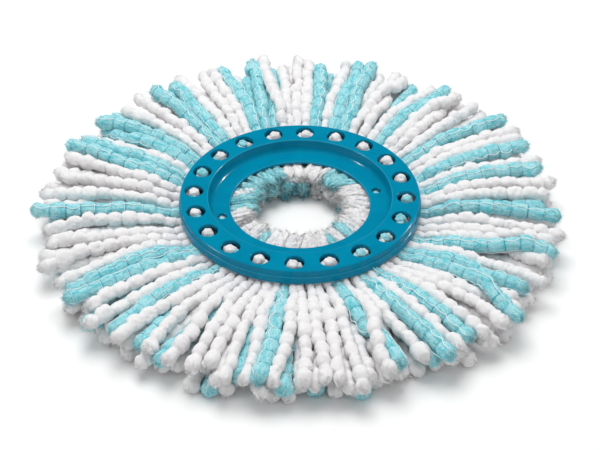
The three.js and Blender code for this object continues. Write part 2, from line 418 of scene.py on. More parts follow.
def make_plastic_material(name, colours):
    """Satin moulded plastic: a fine spark-eroded grain, faint flow patches and a lighter teal painted along
    its rounded edges as a highlight.
    """
    material, tree, principled = new_material(name)
    base, dark = (linear(colour) for colour in colours)
    place = add_node(tree, "ShaderNodeTexCoord").outputs["Object"]
    patches = spread(tree, noise(tree, place, 60, 3.0), 0.35, 0.7)
    grain = noise(tree, place, 2600, 2.0, 0.5)
    # painted highlight: the rounded edges are mixed towards a lighter teal
    painted_highlight = attribute(tree, "edge", "Fac")
    colour = mixed(tree, patches, base, dark)
    highlighted = mixed(tree, spread(tree, painted_highlight, 0.3, 1.0, 0.0, 0.3), colour, linear(EDGE_HIGHLIGHT_TEAL))
    tree.links.new(highlighted, principled.inputs["Base Color"])
    roughness = spread(tree, noise(tree, place, 350, 4.0), 0.3, 0.75, 0.12, 0.19)
    tree.links.new(roughness, principled.inputs["Roughness"])
    set_inputs(principled, {"Specular IOR Level": 0.15})
    add_bump(tree, principled, grain, 0.12, 0.05 * MM)
    return material


# ---- meshes from arrays ----
def make_object(name, points, faces, material, values):
    """A smooth-shaded mesh object from points in mm and faces as arrays of point numbers, one array for each
    number of corners. values are point attributes by name."""
    mesh = bpy.data.meshes.new(name)
    mesh.vertices.add(len(points))
    mesh.vertices.foreach_set("co", (np.asarray(points) * MM).astype(np.float32).ravel())
    faces = [np.asarray(group, np.int32) for group in faces]
    counts = np.concatenate([np.full(len(group), group.shape[1]) for group in faces])
    corners = np.concatenate([group.ravel() for group in faces])
    mesh.loops.add(len(corners))
    mesh.loops.foreach_set("vertex_index", corners)
    mesh.polygons.add(len(counts))
    mesh.polygons.foreach_set("loop_start", np.concatenate([[0], np.cumsum(counts)[:-1]]).astype(np.int32))
    mesh.polygons.foreach_set("use_smooth", np.ones(len(counts), bool))
    for key, value in values.items():
        value = np.asarray(value, np.float32)
        kind = "FLOAT_VECTOR" if value.ndim == 2 else "FLOAT"
        field = "vector" if value.ndim == 2 else "value"
        mesh.attributes.new(key, kind, "POINT").data.foreach_set(field, value.ravel())
    mesh.update(calc_edges=True)
    mesh.materials.append(material)
    piece = bpy.data.objects.new(name, mesh)
    bpy.context.scene.collection.objects.link(piece)
    return piece


class Pieces:
    """Points, faces and point attributes gathered from several shapes, to become one object."""

    def __init__(self):
        self.points, self.faces, self.values, self.count = [], {3: [], 4: []}, {}, 0

    def add(self, points, faces, values=None):
        for group in faces:
            if len(group):
                self.faces[np.shape(group)[1]].append(np.asarray(group) + self.count)
        for key, value in (values or {}).items():
            self.values.setdefault(key, []).append(value)
        self.points.append(points)
        self.count += len(points)

    def make(self, name, material):
        faces = [np.concatenate(group) for group in self.faces.values() if group]
        values = {key: np.concatenate(value) for key, value in self.values.items()}
        return make_object(name, np.concatenate(self.points), faces, material, values)


def grid_faces(rows, columns, closed=True):
    """Quads of a grid of rows by columns, closed round its columns or open."""
    across = np.arange(columns if closed else columns - 1)
    low = (np.arange(rows - 1)[:, None] * columns + across).ravel()
    high = (np.arange(rows - 1)[:, None] * columns + (across + 1) % columns).ravel()
    return np.stack([low, high, high + columns, low + columns], axis=1)


def tube(points, start, end, sides):
    """A tube from points in rows of sides, closed at its start and its end: its points and its faces."""
    first = np.arange(sides)
    last = first + len(points) - sides
    hub = len(points)
    caps = np.concatenate([
        np.stack([first, np.roll(first, -1), np.full(sides, hub)], axis=1),
        np.stack([np.roll(last, -1), last, np.full(sides, hub + 1)], axis=1),
    ])
    return np.concatenate([points, start, end]), (grid_faces(len(points) // sides, sides)[:, ::-1], caps)


def with_ends(values):
    """Values of a tube's points, with its first and its last again for the points that close its ends."""
    return np.concatenate([values, values[:1], values[-1:]])


def kept_above(points, lowest):
    """The points, with those that are lower than this raised to it."""
    points[:, 2] = np.maximum(points[:, 2], lowest)
    return points


def at_angle(r, angle, z):
    """Points at a distance from the axis, an angle round it and a height."""
    return np.stack(np.broadcast_arrays(r * np.cos(angle), r * np.sin(angle), z), axis=-1)


def turning(angle):
    """The matrix that turns rows of points about Z."""
    cos, sin = math.cos(angle), math.sin(angle)
    return np.array([[cos, sin, 0], [-sin, cos, 0], [0, 0, 1]])


def around(ways, side, up):
    """Unit vectors out from a path, these ways round it at each of its points."""
    return np.cos(ways)[None, :, None] * side[:, None] + np.sin(ways)[None, :, None] * up[:, None]


def swept(line, axes, local, ragged):
    """Points round a path. local is across it, and ragged along it."""
    ahead, side, up = axes
    points = line[:, None] + local[..., :1] * side[:, None] + local[..., 1:] * up[:, None]
    return (points + ragged[..., None] * ahead[:, None]).reshape(-1, 3)


# ---- moulded rings ----
SECTOR_STEPS = 16  # flats in one bundle's share of the ring
SIDE_STEPS = 8
FILLET_STEPS = 5
LIP = 0.3  # width of the strip that keeps a flat's shading flat up to its rounded edge
MOST_LIP = 0.3  # and the most it may be of a short stretch
PATCH_SHARES = (0, 0.05, 0.35, 0.65, 0.86, 0.96, 1)  # from a sector's edge in to its hole
WALL_SHARES = (0.08, 0.5, 0.92, 1.0)  # down a hole's wall
WIDE_HOLE_R = 4  # a wider hole's patch fans out from the rim's middle, a narrower one's from its own
EDGE_FADE = 0.5  # how far from an edge the painted highlight reaches, squared
WELD = 0.005


def fillet(before, corner, after, radius):
    """The points of a rounded corner of an outline."""
    before, corner, after = (np.array(p, float) for p in (before, corner, after))
    to_before = (before - corner) / np.linalg.norm(before - corner)
    to_after = (after - corner) / np.linalg.norm(after - corner)
    half = math.acos(np.clip(to_before @ to_after, -1, 1)) / 2
    reach = radius / math.tan(half)
    middle = (to_before + to_after) / np.linalg.norm(to_before + to_after)
    centre = corner + middle * (radius / math.sin(half))
    first = corner + to_before * reach - centre
    last = corner + to_after * reach - centre
    turns = np.linspace(0, 1, FILLET_STEPS + 1)
    sweep = math.pi - 2 * half
    return [
        centre + (first * math.sin((1 - t) * sweep) + last * math.sin(t * sweep)) / math.sin(sweep)
        for t in turns
    ]


def side_radii(inner_r, outer_r):
    """Radii across a flat ring, from its inner edge to its outer."""
    return np.concatenate([[inner_r], np.linspace(inner_r + LIP, outer_r - LIP, SIDE_STEPS - 1), [outer_r]])


def hole_patch(inner_r, outer_r, z, hole_r, hole_ring_r, turn):
    """One sector of a flat ring with a round hole in it, as loops of points from the sector's edge in to the
    hole."""
    half = PITCH / 2
    arc = np.linspace(-half, half, SECTOR_STEPS + 1)
    side = side_radii(inner_r, outer_r)
    edge = np.concatenate([
        at_angle(outer_r, arc[:-1], z),
        at_angle(side[:0:-1], half, z),
        at_angle(inner_r, arc[:0:-1], z),
        at_angle(side[:-1], -half, z),
    ])
    centre = np.array([hole_ring_r, 0, z])
    middle_r = (RIM_INNER_R + RIM_OUTER_R) / 2 if hole_r > WIDE_HOLE_R else hole_ring_r
    aim = edge[:, :2] - [middle_r, 0]
    ways = np.arctan2(aim[:, 1], aim[:, 0])
    hole = centre + hole_r * np.stack([np.cos(ways), np.sin(ways), 0 * ways], axis=1)
    loops = edge + (hole - edge) * np.array(PATCH_SHARES)[:, None, None]
    return loops @ turning(turn)


def flat_ring(parts, inner_r, outer_r, z, faces_up, holes):
    """A flat ring at height z. holes gives (hole radius, its ring's radius) by sector number. Returns each
    hole's edge."""
    edges = {}
    arc = np.linspace(-PITCH / 2, PITCH / 2, SECTOR_STEPS + 1)
    side = side_radii(inner_r, outer_r)[::-1]
    for sector in range(BUNDLES):
        turn = sector * PITCH
        if sector in holes:
            points = hole_patch(inner_r, outer_r, z, *holes[sector], turn)
            quads = grid_faces(*points.shape[:2])
            edges[sector] = points[-1]
        else:
            points = at_angle(side[:, None], arc[None] + turn, z)
            quads = grid_faces(SIDE_STEPS + 1, SECTOR_STEPS + 1, closed=False)
        parts.append((points.reshape(-1, 3), quads if faces_up else quads[:, ::-1]))
    return edges


def hole_wall(parts, top_edge, bottom_edge, centre_r, turn, soft):
    """A hole's wall between its two edges, with its top edge rounded by soft."""
    centre = at_angle(centre_r, turn, 0.0)
    out = top_edge - centre
    out[:, 2] = 0
    out /= np.linalg.norm(out, axis=1)[:, None]
    turns = np.linspace(0, math.pi / 2, FILLET_STEPS + 1)
    loops = [top_edge - out * soft * math.sin(t) - [0, 0, soft * (1 - math.cos(t))] for t in turns]
    top_of_wall = loops[-1]
    loops += [top_of_wall + (bottom_edge - top_of_wall) * share for share in WALL_SHARES]
    loops = np.array(loops)
    parts.append((loops.reshape(-1, 3), grid_faces(*loops.shape[:2])))


def sweep_outline(parts, corners, flats):
    """Turns a closed outline of (r, z, fillet radius) about Z. flats names, by the number of the corner they
    start from, the straight stretches that are left out, and the result gives where each of those runs."""
    count = len(corners)
    rounded = []
    for n, (r, z, radius) in enumerate(corners):
        before, after = corners[n - 1][:2], corners[(n + 1) % count][:2]
        rounded.append(fillet(before, (r, z), after, radius) if radius else [np.array((r, z), float)])
    angles = np.arange(BUNDLES * SECTOR_STEPS) * PITCH / SECTOR_STEPS - PITCH / 2
    left_out = {}
    for n in range(count):
        run = list(rounded[n])
        start, end = rounded[n][-1], rounded[(n + 1) % count][0]
        if n in flats:
            left_out[n] = (start, end)
        else:
            lip = min(LIP / np.linalg.norm(end - start), MOST_LIP)
            run += [start + (end - start) * share for share in (lip, 0.5, 1 - lip, 1.0)]
        if len(run) < 2:
            continue
        run = np.array(run)
        points = at_angle(run[:, :1], angles[None], run[:, 1:])
        parts.append((points.reshape(-1, 3), grid_faces(len(run), len(angles))[:, ::-1]))
    return left_out


def ring_object(name, parts, material, edge_points):
    """One object from parts, joined where they meet. Its edge attribute is 1 where a corner is tightly
    rounded, and the plastic paints a highlight there."""
    whole = Pieces()
    for points, quads in parts:
        radial = np.hypot(points[:, 0], points[:, 1])
        edge = np.zeros(len(points))
        for r, z in edge_points:
            edge = np.maximum(edge, np.exp(-((radial - r) ** 2 + (points[:, 2] - z) ** 2) / EDGE_FADE))
        whole.add(points, [quads], {"edge": edge})
    piece = whole.make(name, material)
    shape = bmesh.new()
    shape.from_mesh(piece.data)
    bmesh.ops.remove_doubles(shape, verts=shape.verts, dist=WELD * MM)
    bmesh.ops.recalc_face_normals(shape, faces=shape.faces)
    shape.to_mesh(piece.data)
    shape.free()
    return piece


def pierced_flats(parts, sectors, hole_r, ring_r, soft, top, under):
    """An upper and a lower flat, each (inner radius, outer radius, height), with a round hole through both
    in these sectors. soft rounds the holes' upper edges."""
    wide = {n: (hole_r + soft, ring_r) for n in sectors}
    plain = {n: (hole_r, ring_r) for n in sectors}
    top_edges = flat_ring(parts, *top, True, wide)
    under_edges = flat_ring(parts, *under, False, plain)
    for n in sectors:
        hole_wall(parts, top_edges[n], under_edges[n], ring_r, n * PITCH, soft)


def make_carrier_ring(material):
    corners = [  # radius, height and fillet, anticlockwise from the outer wall's foot
        (CHANNEL_OUTER_R + 0.5, RIM_BOTTOM, 0.2),
        (BAND_R, RIM_BOTTOM, 0.6),
        (BAND_R, BAND_TOP, 0.3),
        (RIM_OUTER_R, BAND_TOP, 0.3),
        (RIM_OUTER_R, RIM_TOP, 1.3),
        (RIM_INNER_R, RIM_TOP, 0.8),
        (FLANGE_OUTER_R + 0.3, FLANGE_TOP, 3.8),
        (FLANGE_INNER_R, FLANGE_TOP, 0.7),
        (FLANGE_INNER_R, FLANGE_BOTTOM, 0.3),
        (CHANNEL_INNER_R - 2.1, FLANGE_BOTTOM, 0),
        (CHANNEL_INNER_R, RIM_CEILING, 0),
        (CHANNEL_OUTER_R, RIM_CEILING, 0),
    ]
    rim_top, flange_top, flange_bottom, ceiling = 4, 6, 8, 10
    parts = []
    runs = sweep_outline(parts, corners, {rim_top, flange_top, flange_bottom, ceiling})
    top = (runs[rim_top][1][0], runs[rim_top][0][0], RIM_TOP)
    under = (CHANNEL_INNER_R, CHANNEL_OUTER_R, RIM_CEILING)
    pierced_flats(parts, range(BUNDLES), WINDOW_R, WINDOW_RING_R, WINDOW_SOFT, top, under)
    top = (runs[flange_top][1][0], runs[flange_top][0][0], FLANGE_TOP)
    under = (runs[flange_bottom][0][0], runs[flange_bottom][1][0], FLANGE_BOTTOM)
    pierced_flats(parts, LOCATOR_SECTORS, LOCATOR_R, LOCATOR_RING_R, LOCATOR_SOFT, top, under)
    # the rounded edges that get the plastic's painted highlight
    edges = [(RIM_OUTER_R, RIM_TOP), (RIM_INNER_R, RIM_TOP)]
    edges += [(FLANGE_INNER_R, FLANGE_TOP), (BAND_R, BAND_TOP)]
    ring = ring_object("carrier_ring_moulding", parts, material, edges)
    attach(ring, "ring")
    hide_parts("carrier_ring")


def turned_post(radius, low, high, at_r, angle):
    """A standing round post with a flared foot and a rounded top. Its two ends close when its points are
    joined."""
    ways = np.linspace(0, FULL_TURN, POST_SIDES, endpoint=False)
    turns = np.linspace(0, math.pi / 2, FILLET_STEPS + 1)
    side, top = radius - POST_SOFT, high - POST_SOFT
    outline = [(0.0, low), (radius + 0.5, low), (radius + 0.12, low + 0.35), (radius, low + 0.9)]
    outline += [(radius, top - 0.4)]
    outline += [(side + POST_SOFT * math.cos(t), top + POST_SOFT * math.sin(t)) for t in turns]
    outline += [(radius * 0.5, high), (0.0, high)]
    outline = np.array(outline)
    points = at_angle(outline[:, :1], ways[None], outline[:, 1:]) + at_angle(at_r, angle, 0.0)
    return points.reshape(-1, 3), grid_faces(len(outline), POST_SIDES)


def make_clamp_ring(material):
    corners = [
        (CLAMP_INNER_R, CLAMP_BOTTOM, 0.5),
        (CLAMP_OUTER_R, CLAMP_BOTTOM, 0.5),
        (CLAMP_OUTER_R, CLAMP_TOP, 0.3),
        (CLAMP_INNER_R, CLAMP_TOP, 0.3),
    ]
    parts = []
    sweep_outline(parts, corners, set())
    sunk = CLAMP_TOP - POST_SUNK
    for n in range(BUNDLES):
        parts.append(turned_post(POST_R, sunk, POST_TOP, WINDOW_RING_R, n * PITCH))
        parts.append(turned_post(PEG_R, sunk, PEG_TOP, WINDOW_RING_R, (n + 0.5) * PITCH))
    # the rounded edges that get the plastic's painted highlight
    edges = [(CLAMP_INNER_R, CLAMP_BOTTOM), (CLAMP_OUTER_R, CLAMP_BOTTOM)]
    ring = ring_object("clamp_ring_moulding", parts, material, edges)
    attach(ring, "ring")
    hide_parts("clamp_ring")


# ---- how the yarns lie ----
STATION_STEP = 2.6
CLAMPED_R = 66.0
stations = np.arange(CLAMPED_R, TIP_R + 4, STATION_STEP)
DRIFT = math.radians(1.8)  # how far a yarn's tip strays to its side
WAVE = math.radians(0.8)
WAVE_LENGTH = 14
TOUCH = 0.25  # how far two yarns' beads press into each other
# the yarns settle in rounds: in each one, overlapping neighbours push each other apart, every yarn is pulled
# back towards its own place, and it is smoothed along its length
SETTLE_ROUNDS = 110
NEIGHBOURS = 11
PUSH = 0.25
TURN_PULL = 0.02
LIFT_PULL = 0.03
SMOOTHING = 0.25


def smooth_step(value, low, high):
    """0 up to low, 1 from high on, and a smooth rise between."""
    t = np.clip((value - low) / (high - low), 0, 1)
    return t * t * (3 - 2 * t)


def width_share(r):
    """How wide a yarn is at distance r from the axis, as a share of its full width."""
    return SQUEEZED + (1 - SQUEEZED) * smooth_step(r, HINGE_R - 3, FULL_R)


def list_yarns():
    """Every yarn: its bundle, colour, layer, and place across the bundle from -1 to 1."""
    yarns = []
    for bundle in range(BUNDLES):
        for layer, rows in enumerate(ROWS):
            row = rows[bundle]
            for n, colour in enumerate(row):
                place = (2 * n + 1 + (0.5 if layer == 1 else 0)) / len(row) - 1
                yarns.append({"bundle": bundle, "white": colour == "w", "layer": layer, "place": place})
    yarns.sort(key=lambda yarn: (yarn["bundle"] + yarn["place"] / 2, yarn["layer"]))
    return yarns


def lay_yarns(yarns):
    """Angles and heights of every yarn at every station: each yarn runs out from the clamp at its own place,
    and the yarns then settle on the floor and on each other."""
    count = len(yarns)
    layer, place, bundle, white = (
        np.array([yarn[key] for yarn in yarns]) for key in ("layer", "place", "bundle", "white")
    )
    wander = smooth_step(stations, HINGE_R, TIP_R)
    gathered = 0.98 - 0.1 * smooth_step(stations, 110, TIP_R)
    drift = rng.normal(0, DRIFT, (count, 1))
    wave = np.sin(stations / WAVE_LENGTH + rng.uniform(0, FULL_TURN, (count, 1))) * WAVE
    goal = bundle[:, None] * PITCH + place[:, None] * PITCH / 2 * gathered + (drift + wave) * wander
    start_z = np.array(HELD_HEIGHTS)[layer][:, None]
    spread_z = np.array(SPREAD_HEIGHTS)[layer][:, None] + rng.normal(0, 1.1, (count, 1))
    slump = 1 - 0.16 * smooth_step(stations, 130, TIP_R)
    aim_z = start_z + (spread_z * slump - start_z) * smooth_step(stations, HINGE_R, 112)
    bead = np.where(white, WHITE_BEAD_R, TURQUOISE_BEAD_R) + np.array(LAYER_EXTRA)[layer]
    reach = (bead[:, None] - TOUCH) * width_share(stations) * rng.uniform(0.97, 1.04, (count, 1))
    return settled(goal, start_z, aim_z, reach)


def settled(goal, start_z, aim_z, reach):
    """The yarns' angles and heights once they lie still. They start from goal and aim_z, and keep to start_z
    in the clamp. reach is how far from its middle each one touches others."""
    angle, height = goal.copy(), aim_z.copy()
    held = stations < HINGE_R - 1
    under_ring = (stations > HINGE_R - 3) & (stations < BAND_R + 7)
    for _ in range(SETTLE_ROUNDS):
        move_t, move_z = pushes(angle, height, reach)
        angle = angle + np.where(held, 0, move_t / stations) + (goal - angle) * TURN_PULL
        height = height + np.where(held, 0, move_z) + (aim_z - height) * LIFT_PULL
        for _ in range(2):
            angle[:, 1:-1] += SMOOTHING * (angle[:, :-2] - 2 * angle[:, 1:-1] + angle[:, 2:])
            height[:, 1:-1] += SMOOTHING * (height[:, :-2] - 2 * height[:, 1:-1] + height[:, 2:])
        height[:, held] = start_z
        height = np.maximum(height, reach * 0.98 + 0.1)
        ceiling = RIM_BOTTOM - 0.4 - reach[:, under_ring] * 1.05
        height[:, under_ring] = np.minimum(height[:, under_ring], ceiling)
    return angle, height


def pushes(angle, height, reach):
    """How far the yarns push each other where they overlap, round the ring and upwards."""
    move_t, move_z = np.zeros_like(angle), np.zeros_like(height)
    for offset in range(1, NEIGHBOURS + 1):
        gap_t = ((np.roll(angle, -offset, 0) - angle + math.pi) % FULL_TURN - math.pi) * stations
        gap_z = np.roll(height, -offset, 0) - height
        apart = np.maximum(np.hypot(gap_t, gap_z), 0.05)
        push = np.clip(reach + np.roll(reach, -offset, 0) - apart, 0, None) * PUSH
        push_t, push_z = push * gap_t / apart, push * gap_z / apart
        move_t += np.roll(push_t, offset, 0) - push_t
        move_z += np.roll(push_z, offset, 0) - push_z
    return move_t, move_z


# ---- yarn shapes ----
def resampled(path, step):
    """The path again with points step apart, and how far along it each one is."""
    along = np.concatenate([[0], np.cumsum(np.linalg.norm(np.diff(path, axis=0), axis=1))])
    at = np.linspace(0, along[-1], max(8, int(round(along[-1] / step))))
    fine = np.linspace(0, along[-1], 4 * len(path))
    smooth = np.stack([np.interp(fine, along, path[:, k]) for k in range(3)], axis=1)
    for _ in range(6):
        smooth[1:-1] += 0.25 * (smooth[:-2] - 2 * smooth[1:-1] + smooth[2:])
    return np.stack([np.interp(at, fine, smooth[:, k]) for k in range(3)], axis=1), at


def cross_axes(path):
    """Unit vectors at each point of a path: ahead, level to its side, and as near up as goes across it."""
    ahead = np.gradient(path, axis=0)
    ahead /= np.linalg.norm(ahead, axis=1)[:, None]
    side = np.cross(ahead, [0, 0, 1.0])
    side /= np.maximum(np.linalg.norm(side, axis=1), 1e-6)[:, None]
    return ahead, side, np.cross(side, ahead)


def ripples(points, wavelength, seed, count=7):
    """Smooth noise from -1 to 1 in space, the sum of waves in many directions."""
    waves = np.random.default_rng(seed)
    ways = waves.normal(size=(count, 3))
    ways /= np.linalg.norm(ways, axis=1)[:, None]
    lengths = wavelength * waves.uniform(0.7, 1.5, count)
    phases = waves.uniform(0, 2 * math.pi, count)
    return np.sin(points @ (ways * 2 * math.pi / lengths[:, None]).T + phases).sum(1) / math.sqrt(count)


def bead_marks(length, pitch, phase):
    """Where the necks between beads are, along a yarn of this length."""
    marks = [-phase * pitch]
    while marks[-1] < length:
        marks.append(marks[-1] + pitch * rng.uniform(0.88, 1.12))
    return np.array(marks)


def bead_profile(along, marks, neck_r, bead_r, sharpness):
    """(radius, how near the crest from 0 to 1, bead number) at distances along a yarn."""
    which = np.clip(np.searchsorted(marks, along) - 1, 0, len(marks) - 2)
    middle = (marks[which] + marks[which + 1]) / 2
    half = (marks[which + 1] - marks[which]) / 2
    crest = np.clip(1 - np.abs((along - middle) / half) ** 2.2, 0, 1) ** sharpness
    sizes = rng.uniform(0.88, 1.1, len(marks))
    return neck_r + (bead_r * sizes[which] - neck_r) * crest, crest, which


def yarn_outline(line, along, is_white, extra):
    """Along a yarn's path: its radius, how near a bead's crest it is, how frayed, the number of the bead,
    where the necks are, and its width as a share of its full width."""
    share = width_share(np.hypot(line[:, 0], line[:, 1]))
    marks = bead_marks(along[-1], BEAD_PITCH * rng.uniform(0.94, 1.08), rng.uniform(0, 1))
    neck, bead, bluntness = TURQUOISE_NECK_R, TURQUOISE_BEAD_R, TURQUOISE_BLUNTNESS
    if is_white:
        neck, bead, bluntness = WHITE_NECK_R, WHITE_BEAD_R, WHITE_BLUNTNESS
    neck, bead = neck + extra, bead + extra
    radius, crest, number = bead_profile(along, marks, neck, bead, bluntness)
    left = along[-1] - along
    frayed = smooth_step(-left, -FRAY, -1.5)
    radius = (radius * (1 - frayed) + bead * rng.uniform(1.02, 1.22) * frayed) * share
    radius = radius * np.sqrt(np.clip(1 - (1 - np.clip(left / TIP_LENGTH, 0, 1)) ** 2, 0.03, 1))
    return radius, np.maximum(crest, frayed * 0.8), frayed, number, marks, share


def beaded_yarn(path, is_white, layer, fibres):
    """A beaded yarn along a path, frayed at its far end: its points, faces and attributes, and what its net
    thread follows. Its loose fibres are added to fibres."""
    sides, step = SIDES[layer], STEPS[layer]
    line, along = resampled(path, step)
    ahead, side, up = cross_axes(line)
    radius, crest, frayed, number, marks, share = yarn_outline(line, along, is_white, LAYER_EXTRA[layer])
    shift = rng.normal(0, 0.55, (len(marks), 2))[number] * crest[:, None]
    squash = rng.normal(0, 0.08, len(marks))[number] * crest
    lean = rng.uniform(0, math.pi, len(marks))[number]
    ways = np.linspace(0, FULL_TURN, sides, endpoint=False)
    ridge = rng.normal(0, 0.06, sides) * frayed[:, None]
    oval = 1 + squash[:, None] * np.cos(2 * (ways - lean[:, None])) + ridge
    across = np.stack([np.cos(ways), np.sin(ways)], axis=1)
    local = (radius[:, None] * oval)[..., None] * across + shift[:, None, :]
    outward = around(ways, side, up).reshape(-1, 3)
    ragged = rng.normal(0, 0.3, sides) * (frayed**2)[:, None]
    smooth = swept(line, (ahead, side, up), local, ragged)
    seed = int(rng.integers(1 << 30))
    lumps = 0.22 * ripples(smooth, 3.6, seed) + 0.2 * ripples(smooth, 1.7, seed + 1)
    lumps += rng.normal(0, 0.05, len(smooth))
    points = kept_above(smooth + outward * (lumps * np.repeat(share, sides))[:, None], LOWEST)
    closed, faces = tube(points, line[:1], line[-1:] + ahead[-1:] * 0.5, sides)
    coord = np.concatenate([np.repeat(along, sides)[:, None], local.reshape(-1, 2)], axis=1)
    values = {
        "yarn_coord": with_ends(coord) + rng.uniform(0, 500, 3),
        # bead is 1 on a crest and at the frayed end and 0 in a neck, where the material paints shade
        "bead": with_ends(np.repeat(crest, sides)),
    }
    add_cut_end(fibres, line, (ahead, side, up), radius, step, END_FIBRES[layer])
    add_nap(fibres, points, outward, np.repeat(ahead, sides, 0), NAP_FIBRES[layer])
    spine = {"line": line, "side": side, "up": up, "along": along}
    spine |= {"radius": radius, "marks": marks, "shift": shift}
    return kept_above(closed, LOWEST), faces, values, spine


def add_cut_end(fibres, line, axes, radius, step, count):
    """Adds the loose fibres round a yarn's cut end."""
    ahead, side, up = axes
    ends = len(line) - 1 - (rng.uniform(0, 5.5, count) / step).astype(int)
    turns = rng.uniform(0, FULL_TURN, count)[:, None]
    out = np.cos(turns) * side[ends] + np.sin(turns) * up[ends]
    roots = line[ends] + out * (radius[ends] * rng.uniform(0.55, 0.93, count))[:, None]
    aims = ahead[ends] * rng.uniform(0.5, 1.3, (count, 1)) + out * rng.uniform(0.15, 1.0, (count, 1))
    aims = (aims + rng.normal(0, 0.3, (count, 3))) * rng.uniform(1.1, 2.4, (count, 1))
    add_fibres(fibres, roots, aims, 0.12)


def add_nap(fibres, points, outward, ahead, count):
    """Adds the fine short fibres all over a yarn."""
    spots = rng.integers(0, len(points), count)
    lift = outward[spots]
    aims = lift + ahead[spots] * rng.normal(0.2, 0.5, (count, 1))
    aims = aims * rng.uniform(0.35, 0.9, (count, 1))
    add_fibres(fibres, points[spots] - lift * 0.1, aims, 0.06)


def add_fibres(fibres, roots, aims, radius, shade=0.9):
    """Adds loose fibres to fibres, none of them below the floor. shade goes from 0, deep, to 1, pale."""
    shape, triangles = spikes(roots, aims, radius)
    coord = np.repeat(rng.uniform(0, 500, (len(roots), 3)), SPIKE_POINTS, 0)
    values = {"yarn_coord": coord, "bead": np.full(len(shape), shade)}
    fibres.add(kept_above(shape, 0.1), [triangles], values)


# a loose fibre: three points round its foot, three round its middle and one at its tip
SPIKE_POINTS = 7
SPIKE_FACES = np.array([
    (0, 1, 4), (0, 4, 3), (1, 2, 5), (1, 5, 4), (2, 0, 3),
    (2, 3, 5), (3, 4, 6), (4, 5, 6), (5, 3, 6), (0, 2, 1),
])


def spikes(roots, aims, radius):
    """Loose fibres: slim three-sided spikes from roots along aims, each bent a little halfway."""
    count = len(roots)
    guide = np.cross(aims, rng.normal(0, 1, (count, 3)))
    side = guide / np.maximum(np.linalg.norm(guide, axis=1), 1e-6)[:, None]
    up = np.cross(aims / np.linalg.norm(aims, axis=1)[:, None], side)
    ways = np.arange(3) * FULL_TURN / 3
    across = around(ways, side, up)
    bend = side * rng.normal(0, 0.2, (count, 1)) * np.linalg.norm(aims, axis=1)[:, None]
    foot = roots[:, None] + across * radius
    middle = (roots + aims * 0.55 + bend)[:, None] + across * radius * 0.7
    tip = (roots + aims)[:, None]
    points = np.concatenate([foot, middle, tip], axis=1).reshape(-1, 3)
    return points, (SPIKE_FACES[None] + np.arange(count)[:, None, None] * SPIKE_POINTS).reshape(-1, 3)


THREAD_R = 0.25
THREAD_SIDES = 5
THREAD_RUNS = 3
RUNG_R = THREAD_R * 0.6  # thread drawn tight round a neck
RUNG_STEPS = 20
SKIPPED_RUNGS = 0.35  # share of the necks that have none


def thin_tube(line, radius):
    """A thin closed tube along a line of points."""
    ahead = np.gradient(line, axis=0)
    ahead /= np.maximum(np.linalg.norm(ahead, axis=1), 1e-9)[:, None]
    guide = np.where(np.abs(ahead[:, 2:]) > 0.9, [[1.0, 0, 0]], [[0, 0, 1.0]])
    side = np.cross(ahead, guide)
    side /= np.linalg.norm(side, axis=1)[:, None]
    up = np.cross(side, ahead)
    ways = np.linspace(0, FULL_TURN, THREAD_SIDES, endpoint=False)
    points = (line[:, None] + radius * around(ways, side, up)).reshape(-1, 3)
    return tube(points, line[:1], line[-1:], THREAD_SIDES)


def net_on(parts, spine):
    """The white thread netted round a turquoise yarn: a rung round most necks, and runs along the yarn
    that belly out over each bead, draw together at the necks and now and then hang loose."""
    along, marks = spine["along"], spine["marks"]
    keep = np.hypot(spine["line"][:, 0], spine["line"][:, 1]) > HINGE_R - 4
    keep &= along < along[-1] - 1.0
    number = np.clip(np.searchsorted(marks, along) - 1, 0, len(marks) - 2)
    half = (marks[number + 1] - marks[number]) / 2
    off = np.clip((along - marks[number] - half) / half, -1, 1)
    turn, twist = rng.uniform(0, FULL_TURN), rng.uniform(-0.012, 0.012)
    for run_number in range(THREAD_RUNS):
        belly = rng.uniform(0.22, 0.5, len(marks))[number] * rng.choice([-1, 1])
        way = turn + run_number * FULL_TURN / THREAD_RUNS + twist * along
        way = way + belly * (np.cos(off * math.pi / 2) ** 0.8 - 0.3)
        loose = 1.6 * np.exp(-((along - rng.uniform(0, along[-1] * 2)) / 4.5) ** 2)
        reach = spine["radius"] + 0.16 + loose
        place = np.stack([np.cos(way), np.sin(way)], axis=1) * reach[:, None] + spine["shift"]
        run = spine["line"] + place[:, :1] * spine["side"] + place[:, 1:] * spine["up"]
        run = kept_above(run[keep][::2], 0.4)
        if len(run) > 3:
            parts.add(*thin_tube(run, THREAD_R))
    for mark in marks[1:-1]:
        n = int(np.searchsorted(along, mark))
        if not 1 < n < len(along) - 2 or not keep[n] or rng.random() < SKIPPED_RUNGS:
            continue
        ways = np.linspace(0, FULL_TURN, RUNG_STEPS)
        reach = spine["radius"][n] + 0.02 + 0.14 * np.sin(3 * ways + rng.uniform(0, 6))
        rung = (spine["line"][n] + (np.cos(ways) * reach)[:, None] * spine["side"][n]
                + (np.sin(ways) * reach)[:, None] * spine["up"][n])
        parts.add(*thin_tube(kept_above(rung, 0.35), RUNG_R))


TUFT_SIDES = 40


